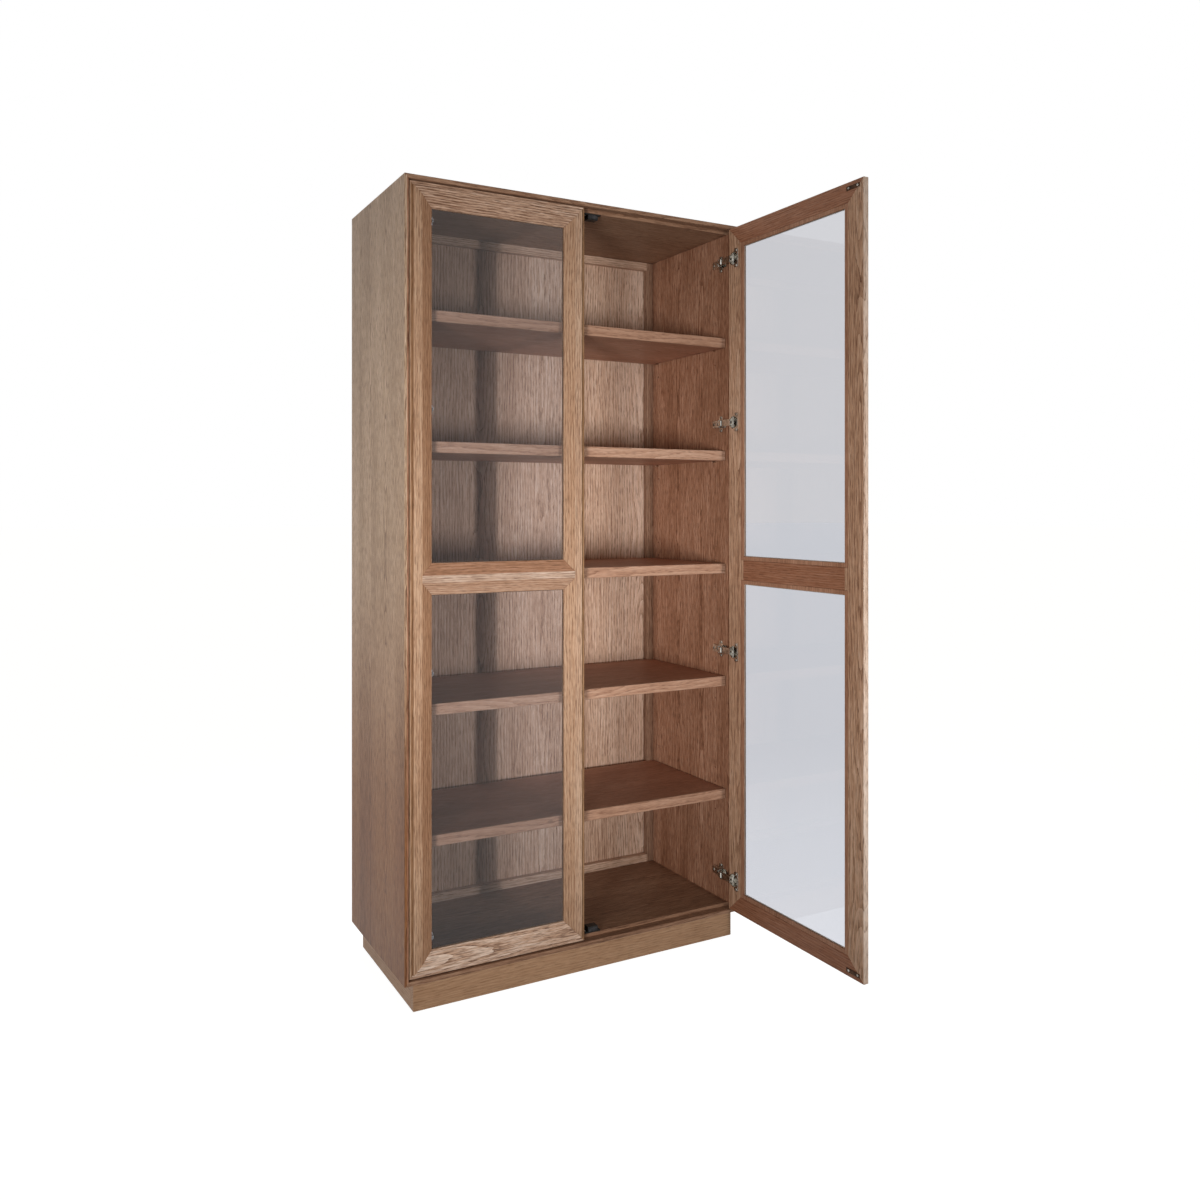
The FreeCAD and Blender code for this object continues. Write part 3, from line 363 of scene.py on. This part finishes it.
materials = {
    "left_side": oak("oak_left_side_veneer", SIDE_INNER_SHADE, Y_AXIS, Z_AXIS, CASE_LEAF, contrast=1.3,
                     patches=[("X", SIDE_FACE, SIDE_OUTER_LIGHT, SIDE_LOW_SHADE)]),
    "right_side": oak("oak_right_side_veneer", SIDE_INNER_SHADE, Y_AXIS, Z_AXIS, CASE_LEAF, contrast=1.3,
                      patches=[("X", SIDE_FACE, SIDE_OUTER_LIGHT, None)]),
    "back": oak("oak_back_veneer", BACK, X_AXIS, Z_AXIS, BACK_LEAF, 9.0, 40.0, contrast=1.1),
    "level": oak("oak_level_veneer", LEVEL, Y_AXIS, X_AXIS, CASE_LEAF),
    "shelf": oak("oak_shelf_veneer", SHELF, Y_AXIS, X_AXIS, SHELF_LEAF, contrast=0.8,
                 patches=[("Y", SHELF_FACE, SHELF_FRONT, None)]),
    "upright": oak("oak_upright_batten", UPRIGHT, X_AXIS, Z_AXIS, BATTEN_LEAF),
    "crossing": oak("oak_crossing_batten", CROSSING, Z_AXIS, X_AXIS, BATTEN_LEAF),
    "plinth": oak("oak_plinth_board", PLINTH, Z_AXIS, X_AXIS, PLINTH_LEAF, contrast=0.65),
    "plinth_side": oak("oak_plinth_side_board", PLINTH, Z_AXIS, Y_AXIS, PLINTH_LEAF, contrast=0.65),
    "left_stile": oak("oak_hinge_stile", HINGE_BEVEL_SHADE, X_AXIS, Z_AXIS, STILE_LEAF, *RIFT, 0.95,
                      [("X", DOOR_EDGE - RIDGE_END, DOOR, None), ("X", DOOR_EDGE - MARGIN_END, FOOT_SHADOW, None),
                       ("X", DOOR_EDGE - FOOT_END, DOOR, None)]),
    "meeting_stile": oak("oak_meeting_stile", MEETING_MARGIN_SHADOW, X_AXIS, Z_AXIS, STILE_LEAF, *RIFT, 0.95,
                         [("X", DOOR_START + MARGIN_END, MEETING_RIDGE_LIT, None),
                          ("X", DOOR_START + RIDGE_END, MEETING_BEVEL_SHADE, None)]),
    "left_rail": oak("oak_left_mid_rail", MID_RAIL, Z_AXIS, X_AXIS, RAIL_LEAF, *RIFT, 0.9,
                     [("Z", MID_RAIL_MIDDLE - MID_RAIL_RIDGE, MID_RAIL_SHEEN, None),
                      ("Z", MID_RAIL_MIDDLE + MID_RAIL_RIDGE, MID_RAIL_TOP_SHADE, None)]),
    "high_rail": oak("oak_left_high_rail", END_RAIL, Z_AXIS, X_AXIS, RAIL_LEAF, *RIFT, 1.3),
    "low_rail": oak("oak_left_low_rail", END_RAIL, Z_AXIS, X_AXIS, RAIL_LEAF, *RAIL_RINGS, 1.3),
    "right_stile": oak("oak_right_stile", OPEN_STILE_LIGHT, Y_AXIS, Z_AXIS, OPEN_LEAF, *OPEN_RINGS, 1.15,
                       [("X", RIGHT_DOOR_MIDDLE, DOOR, None),
                        ("Y", -cad_low.y - FREE_EDGE_SKIN, FREE_EDGE_LIT, None)]),
    "right_rail": oak("oak_right_rail", OPEN_RAIL_SHADE, Z_AXIS, Y_AXIS, RAIL_LEAF, *RIFT, 0.75,
                      [("X", RIGHT_DOOR_MIDDLE, DOOR, None)]),
    "right_bead": oak("oak_right_bead", OPEN_BEAD_SHADE, Y_AXIS, Z_AXIS, OPEN_LEAF, *RIFT, 0.75),
    "glass": float_glass(),
    "nickel": metal("nickel_plated_steel", "e4e1da", "b0aba2", 0.22, 2.5),
    "screw": metal("zinc_plated_steel", "cbc6bd", "8b867e", 0.28, 1.5),
    "bronze": metal("bronzed_steel", "4a3527", "2c1f17", 0.42, 2.0),
    "black": moulded("black_catch_plastic", "141312", "2a2826", 0.5, 1.2),
    "ferrite": moulded("ferrite_magnet", "2b2a2c", "4a484a", 0.6, 0.9),
    "left_seal": moulded("brown_rubber_seal", "66503f", "7c6553", 0.5, 1.6),
    "right_seal": moulded("pale_rubber_seal", "b4afa8", "c8c4be", 0.5, 1.6),
}

# Which finish and which slot of the record each piece of the frame takes

finishes = {}
for side in SIDES:
    finishes[f"side_panel_{side}"] = (f"{side}_side", "oak_case")
    finishes[f"back_batten_{side}"] = ("upright", "oak_case")
    finishes[f"plinth_{side}"] = ("plinth_side", "oak_case")
    for piece in ("hinge_plates", "hinge_arms", "hinge_links"):
        finishes[f"{piece}_{side}"] = ("nickel", "nickel")
    for piece in ("hinge_stile", "meeting_stile", "upper_bead", "lower_bead"):
        finishes[f"{side}_door_{piece}"] = (f"{side}_stile", "oak_door")
    for piece in ("top_rail", "mid_rail", "bottom_rail"):
        finishes[f"{side}_door_{piece}"] = (f"{side}_rail", "oak_door")
    finishes[f"{side}_door_hinge_cups"] = ("nickel", "nickel")
    finishes[f"{side}_door_strike_plates"] = ("bronze", "strike_bronze")
finishes["left_door_meeting_stile"] = ("meeting_stile", "oak_door")
finishes["left_door_top_rail"] = ("high_rail", "oak_door")
finishes["left_door_bottom_rail"] = ("low_rail", "oak_door")
for pane in ("upper", "lower"):
    finishes[f"right_door_{pane}_bead"] = ("right_bead", "oak_door")
for level in ("top", "bottom"):
    finishes[f"{level}_panel"] = ("level", "oak_case")
    finishes[f"back_batten_{level}"] = ("crossing", "oak_case")
for piece in ("plinth_front", "plinth_back"):
    finishes[piece] = ("plinth", "oak_case")
for number in range(1, 6):
    finishes[f"shelf_{number}"] = ("shelf", "oak_shelf")
finishes["plinth_brace"] = ("plinth_side", "oak_case")
finishes["back_panel"] = ("back", "oak_case")
finishes["shelf_pins"] = ("nickel", "nickel")
finishes["catch_cases"] = ("black", "catch_black")
finishes["catch_magnets"] = ("ferrite", "magnet")

WOOD_EASE = 0.8 * MM
METAL_EASE = 0.4 * MM
BATTEN_EASE = 2.0 * MM
SEAL_EASE = 0.25 * MM
EASE_STEPS = 2
SAME_POINT = 0.01 * MM
SAME_PLANE = math.radians(1)
# A mitre leans by half a right angle, which leaves about this share of its normal upright
MITRE_LEAN = (0.6, 0.8)
SHARP = math.radians(35)
# Wooden faces are flat, so a slight turn is an edge; turned and stamped pieces have round faces
FLAT_SHARP = math.radians(5)
ROUND_SHARP = math.radians(18)
ROUND_FINISHES = ("nickel", "screw", "bronze", "black", "ferrite", "left_seal", "right_seal")
body_names = {empty: name for name, empty in frame["bodies"].items()}


def merged(node):
    """A copy of a CAD node's mesh with its loose triangles joined."""
    shape = bmesh.new()
    shape.from_mesh(nodes[node].data)
    bmesh.ops.remove_doubles(shape, verts=shape.verts[:], dist=SAME_POINT)
    return shape


def finish_piece(name, shape, body, key):
    """A mesh object from a bmesh, with its finish, riding on a body."""
    mesh = bpy.data.meshes.new(name)
    shape.to_mesh(mesh)
    shape.free()
    mesh.polygons.foreach_set("use_smooth", [True] * len(mesh.polygons))
    mesh.set_sharp_from_angle(angle=ROUND_SHARP if key in ROUND_FINISHES else FLAT_SHARP)
    mesh.materials.append(materials[key])
    piece = bpy.data.objects.new(name, mesh)
    bpy.context.scene.collection.objects.link(piece)
    # Broad faces stay flat to the eye, and the turn of the normals falls on the narrow rounded edges
    piece.modifiers.new("face_weighted_normals", "WEIGHTED_NORMAL").keep_sharp = True
    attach(piece, body)
    return piece


def ease_edges(shape, edges, width):
    """Edges rounded over by a width."""
    bmesh.ops.bevel(shape, geom=edges, offset=width, offset_type="OFFSET", segments=EASE_STEPS, profile=0.5,
                    affect="EDGES", clamp_overlap=True, material=-1)


def eased_copy(node, width):
    """The same piece with its sharp outer edges rounded over."""
    key, slot = finishes[node]
    shape = merged(node)
    if "bead" in node:
        # The strips of a bead are mitred together, and the walls between them stay out
        walls = [face for face in shape.faces if MITRE_LEAN[0] < abs(face.normal.z) < MITRE_LEAN[1]]
        bmesh.ops.delete(shape, geom=walls, context="FACES")
    bmesh.ops.dissolve_limit(shape, angle_limit=SAME_PLANE, verts=shape.verts[:], edges=shape.edges[:])
    edges = [edge for edge in shape.edges if edge.is_manifold and edge.is_convex
             and edge.calc_face_angle() > SHARP and edge.calc_length() > 4 * width]
    ease_edges(shape, edges, width)
    piece = finish_piece(f"{node}_eased", shape, body_names[nodes[node].parent], key)
    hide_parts(node)


for node, (key, slot) in finishes.items():
    if "batten" in node:
        ease = BATTEN_EASE
    else:
        ease = WOOD_EASE if slot.startswith("oak") else METAL_EASE
    eased_copy(node, ease)
for side in SIDES:
    for pane in ("upper", "lower"):
        for glass_slot in nodes[f"{side}_door_{pane}_glass"].material_slots:
            glass_slot.material = materials["glass"]


# Screws, which the frame leaves out

def solids(node):
    """Boxes of the separate solids of a node, as pairs of corners, from the lowest up."""
    shape = merged(node)
    waiting = set(shape.verts)
    boxes = []
    while waiting:
        found = [waiting.pop()]
        for vert in found:
            for edge in vert.link_edges:
                other = edge.other_vert(vert)
                if other in waiting:
                    waiting.remove(other)
                    found.append(other)
        low = Vector([min(vert.co[axis] for vert in found) for axis in range(3)])
        high = Vector([max(vert.co[axis] for vert in found) for axis in range(3)])
        boxes.append((low, high))
    shape.free()
    return sorted(boxes, key=lambda pair: pair[0].z)


HEAD_STEPS = 12
# Section of a round head, as shares of its radius outward and upward
HEAD_SECTION = ((1.0, -0.25), (1.0, 0.1), (0.9, 0.26), (0.68, 0.38), (0.46, 0.42))
CROSS_REACH = 0.4
CROSS_HALF = 0.1
CROSS_DEEP = 0.3


def add_screw(shape, place, out, radius):
    """A round head with a cross recess, seated on a point of a face that looks outward."""
    screw = bmesh.new()
    section = [screw.verts.new((along * radius, 0, height * radius)) for along, height in HEAD_SECTION]
    lines = [screw.edges.new(pair) for pair in zip(section, section[1:])]
    bmesh.ops.spin(screw, geom=section + lines, cent=(0, 0, 0), axis=(0, 0, 1), steps=HEAD_STEPS,
                   angle=math.tau, use_merge=True)
    top = HEAD_SECTION[-1][1] * radius
    rim = [edge for edge in screw.edges if all(abs(vert.co.z - top) < 1e-7 for vert in edge.verts)]
    reach = CROSS_REACH * radius
    half = CROSS_HALF * radius
    arm = [Vector((reach, -half, top)), Vector((reach, half, top)), Vector((half, half, top))]
    corners = []
    for quarter in range(4):
        turn = Matrix.Rotation(quarter * math.pi / 2, 3, "Z")
        corners += [screw.verts.new(turn @ point) for point in arm]
    cross = [screw.edges.new(pair) for pair in zip(corners, corners[1:] + corners[:1])]
    bmesh.ops.bridge_loops(screw, edges=rim + cross)
    sunk = bmesh.ops.extrude_edge_only(screw, edges=cross)["geom"]
    floor = [item for item in sunk if isinstance(item, bmesh.types.BMVert)]
    bmesh.ops.translate(screw, verts=floor, vec=(0, 0, -CROSS_DEEP * radius))
    floor_edges = [edge for edge in screw.edges if all(vert in floor for vert in edge.verts)]
    bmesh.ops.contextual_create(screw, geom=floor_edges)
    bmesh.ops.recalc_face_normals(screw, faces=screw.faces[:])
    turn = out.to_track_quat("Z", "Y").to_matrix().to_4x4()
    bmesh.ops.transform(screw, matrix=Matrix.Translation(place) @ turn, verts=screw.verts[:])
    mesh = bpy.data.meshes.new("screw")
    screw.to_mesh(mesh)
    screw.free()
    shape.from_mesh(mesh)
    bpy.data.meshes.remove(mesh)


PLATE_SCREW = 4.2 * MM
ARM_SCREW = 4.0 * MM
CUP_SCREW = 3.6 * MM
CATCH_SCREW = 2.8 * MM
STRIKE_SCREW = 3.2 * MM
PLATE_SCREW_SHARE = 0.4
PLATE_SCREW_INSET = 5 * MM
CUP_SCREW_OFFSET = 9.5 * MM
CUP_SCREW_INSET = 6 * MM
ARM_SCREW_INSETS = (6 * MM, 25 * MM)
ARM_SCREW_RISES = (7.6 * MM, 9.6 * MM)
CATCH_SCREW_INSET = 4 * MM
CATCH_EAR = 4 * MM
STRIKE_SCREW_INSET = 7 * MM
STRIKE_RIM = 0.9 * MM


def hinge_screws(side):
    """Screws of the mounting plates and the adjusting screws of the arms."""
    into_case = -X_AXIS if side == "right" else X_AXIS
    shape = bmesh.new()
    for low, high in solids(f"hinge_plates_{side}"):
        face = low.x if side == "right" else high.x
        y = low.y + PLATE_SCREW_SHARE * (high.y - low.y)
        for z in (low.z + PLATE_SCREW_INSET, high.z - PLATE_SCREW_INSET):
            add_screw(shape, Vector((face, y, z)), into_case, PLATE_SCREW)
    for low, high in solids(f"hinge_arms_{side}"):
        outer = high.x if side == "right" else low.x
        for inset, rise in zip(ARM_SCREW_INSETS, ARM_SCREW_RISES):
            place = Vector((outer, high.y - inset, (low.z + high.z) / 2)) + into_case * rise
            add_screw(shape, place, into_case, ARM_SCREW)
    finish_piece(f"hinge_screws_{side}", shape, "case", "screw")


def door_screws(side):
    """Screws in the wings of the hinge cups and in the strike plates of a door."""
    if side == "left":
        outward, along, axis = Y_AXIS, X_AXIS, 1
    else:
        outward, along, axis = -X_AXIS, -Y_AXIS, 0
    shape = bmesh.new()
    for low, high in solids(f"{side}_door_hinge_cups"):
        middle = (low + high) / 2
        face = high.y if side == "left" else low.x
        for z in (low.z + CUP_SCREW_INSET, high.z - CUP_SCREW_INSET):
            place = middle + along * CUP_SCREW_OFFSET
            place.z = z
            place[axis] = face
            add_screw(shape, place, outward, CUP_SCREW)
    for low, high in solids(f"{side}_door_strike_plates"):
        middle = (low + high) / 2
        reach = abs((high - low).dot(along)) / 2 - STRIKE_SCREW_INSET
        for sign in (-1, 1):
            place = middle + along * sign * reach
            place[axis] = high.y - STRIKE_RIM if side == "left" else low.x + STRIKE_RIM
            add_screw(shape, place, outward, STRIKE_SCREW)
    finish_piece(f"door_screws_{side}", shape, f"door_{side}", "screw")


def catch_screws():
    """Screws through the ears of the magnetic catches."""
    case_middle = (cad_low.z + cad_high.z) / 2
    shape = bmesh.new()
    for low, high in solids("catch_cases"):
        is_top = low.z > case_middle
        face = high.z - CATCH_EAR if is_top else low.z + CATCH_EAR
        into_case = -Z_AXIS if is_top else Z_AXIS
        for x in (low.x + CATCH_SCREW_INSET, high.x - CATCH_SCREW_INSET):
            add_screw(shape, Vector((x, (low.y + high.y) / 2, face)), into_case, CATCH_SCREW)
    finish_piece("catch_screws", shape, "case", "screw")


# Rubber seals between the panes and their beads, seen as a thin line round the glass

SEAL_WIDTH = 1.6 * MM
SEAL_THICK = 1.0 * MM
# How far a bead reaches in over the pane
BEAD_REACH = 10.8 * MM


def pane_seals(side):
    """A thin frame on the inner face of each pane, against the bead."""
    axis = 1 if side == "left" else 0
    inward = 1 if side == "left" else -1
    across = 0 if side == "left" else 1
    shape = bmesh.new()
    for pane in ("upper", "lower"):
        low, high = (corner.copy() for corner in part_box(f"{side}_door_{pane}_bead"))
        glass_low, glass_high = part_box(f"{side}_door_{pane}_glass")
        face = glass_high[axis] if inward > 0 else glass_low[axis]
        corners = []
        for inset in (BEAD_REACH, BEAD_REACH + SEAL_WIDTH):
            ends = (low[across] + inset, high[across] - inset)
            heights = (low.z + inset, high.z - inset)
            for a, b in ((0, 0), (1, 0), (1, 1), (0, 1)):
                point = Vector((0, 0, heights[b]))
                point[across] = ends[a]
                point[axis] = face + inward * SEAL_THICK
                corners.append(shape.verts.new(point))
        faces = []
        for index in range(4):
            after = (index + 1) % 4
            around = (index, after, 4 + after, 4 + index)
            faces.append(shape.faces.new([corners[turn] for turn in around]))
        sunk = bmesh.ops.extrude_face_region(shape, geom=faces, use_keep_orig=True)["geom"]
        back = [item for item in sunk if isinstance(item, bmesh.types.BMVert)]
        move = Vector((0, 0, 0))
        move[axis] = -inward * SEAL_THICK
        bmesh.ops.translate(shape, verts=back, vec=move)
    bmesh.ops.recalc_face_normals(shape, faces=shape.faces[:])
    rounded = [edge for edge in shape.edges if edge.calc_face_angle(0) > SHARP]
    ease_edges(shape, rounded, SEAL_EASE)
    finish_piece(f"pane_seals_{side}", shape, f"door_{side}", f"{side}_seal")


catch_screws()
for side in SIDES:
    hinge_screws(side)
    door_screws(side)
    pane_seals(side)


# Floor, light and camera

# The photograph shows the studio a tone darker behind its panes than round the case
SEEN_THROUGH_GLASS = 0.79
FLOOR_GLOW = 0.955
FLOOR_HALF = 60
WORLD_LIGHT = 0.2


def seen_white(tree):
    """One for rays of the eye, straight or mirrored, less through glass, and zero for rays of light."""
    paths = add(tree, "ShaderNodeLightPath").outputs
    through = paths["Is Transmission Ray"]
    seen = add(tree, "ShaderNodeMath", {0: paths["Is Camera Ray"], 1: through}, operation="MAXIMUM")
    seen = add(tree, "ShaderNodeMath", {0: seen, 1: paths["Is Glossy Ray"]}, operation="MAXIMUM")
    tone = add(tree, "ShaderNodeMath", {0: through, 1: SEEN_THROUGH_GLASS - 1.0, 2: 1.0},
               operation="MULTIPLY_ADD")
    seen = add(tree, "ShaderNodeMath", {0: seen, 1: tone}, operation="MULTIPLY")
    # Light that comes off a dull face and out through a pane is no ray of the eye any more
    straight = add(tree, "ShaderNodeMath", {0: paths["Diffuse Depth"], 1: 0.5}, operation="LESS_THAN")
    return add(tree, "ShaderNodeMath", {0: seen, 1: straight}, operation="MULTIPLY")


def studio_floor():
    """A pale floor that stays white to the eye and keeps the shadow of the case."""
    material, tree = new_material("studio_floor")
    strength = add(tree, "ShaderNodeMath", {0: seen_white(tree), 1: FLOOR_GLOW}, operation="MULTIPLY")
    glow = add(tree, "ShaderNodeEmission", {"Strength": strength})
    matt = add(tree, "ShaderNodeBsdfDiffuse", {"Color": linear("8c8c8c")})
    both = add(tree, "ShaderNodeAddShader", {0: glow, 1: matt})
    add(tree, "ShaderNodeOutputMaterial", {"Surface": both})
    mesh = bpy.data.meshes.new("studio_floor")
    shape = bmesh.new()
    bmesh.ops.create_grid(shape, x_segments=1, y_segments=1, size=FLOOR_HALF)
    shape.to_mesh(mesh)
    shape.free()
    floor = bpy.data.objects.new("studio_floor", mesh)
    bpy.context.scene.collection.objects.link(floor)
    mesh.materials.append(material)


def white_world():
    """White to the eye, a tone darker through glass, and a plain, slightly warm light on the object."""
    world = bpy.data.worlds.new("studio_world")
    bpy.context.scene.world = world
    world.use_nodes = True
    tree = world.node_tree
    tree.nodes.clear()
    seen = seen_white(tree)
    strength = add(tree, "ShaderNodeMapRange", {"Value": seen, "To Min": WORLD_LIGHT, "To Max": 1.0})
    hue = add(tree, "ShaderNodeMix", {0: seen, 6: linear("fbeede"), 7: linear("ffffff")}, data_type="RGBA")
    glow = add(tree, "ShaderNodeBackground", {"Color": hue.outputs[2], "Strength": strength})
    add(tree, "ShaderNodeOutputWorld", {"Surface": glow})


def soft_box(name, place, target, size, spread, watts):
    """A rectangular lamp that looks at a point."""
    lamp = bpy.data.lights.new(name, "AREA")
    lamp.shape = "RECTANGLE"
    lamp.size, lamp.size_y = size
    lamp.energy = watts
    lamp.spread = math.radians(spread)
    item = bpy.data.objects.new(name, lamp)
    item.location = place
    item.rotation_euler = (Vector(target) - Vector(place)).to_track_quat("-Z", "Y").to_euler()
    # The lamps themselves stay out of both faces of the panes, which mirror the white studio instead
    item.visible_glossy = False
    item.visible_transmission = False
    bpy.context.scene.collection.objects.link(item)


# Place and aim of each lamp, its size, its spread in degrees and its watts
LAMPS = {
    "key_light": ((-3.2, -3.0, 0.8), (0.0, 0.0, 1.12), (0.9, 0.9), 47, 11.4),
    "front_light": ((0.45, -3.1, 0.8), (0.0, 0.0, 1.0), (0.12, 0.6), 60, 4.4),
    "back_light": ((0.3, 3.2, 3.4), (0.0, 0.2, 1.1), (1.5, 1.5), 60, 13),
    "right_light": ((4.0, 1.2, 1.6), (0.5, 0.0, 1.1), (1.5, 1.5), 60, 12),
}

PHOTO_PIXELS = 1200
FOCAL_PIXELS = 966.4
EYE_POINT_PIXELS = (499.4, 508.6)
CAMERA_PLACE = (-1.3095, -2.3624, 1.2025)
CAMERA_YAW = 0.4561
SENSOR_MM = 36.0


def photo_camera():
    """A level camera at the photograph's place, with its off-centre framing as shift."""
    lens = bpy.data.cameras.new("photo_camera")
    lens.sensor_width = SENSOR_MM
    lens.lens = FOCAL_PIXELS / PHOTO_PIXELS * lens.sensor_width
    lens.shift_x = 0.5 - EYE_POINT_PIXELS[0] / PHOTO_PIXELS
    lens.shift_y = EYE_POINT_PIXELS[1] / PHOTO_PIXELS - 0.5
    item = bpy.data.objects.new("photo_camera", lens)
    item.location = CAMERA_PLACE
    item.rotation_euler = (math.radians(90), 0, -CAMERA_YAW)
    bpy.context.scene.collection.objects.link(item)
    bpy.context.scene.camera = item


studio_floor()
white_world()
for name, settings in LAMPS.items():
    soft_box(name, *settings)
photo_camera()
bpy.context.scene.view_settings.view_transform = "Standard"
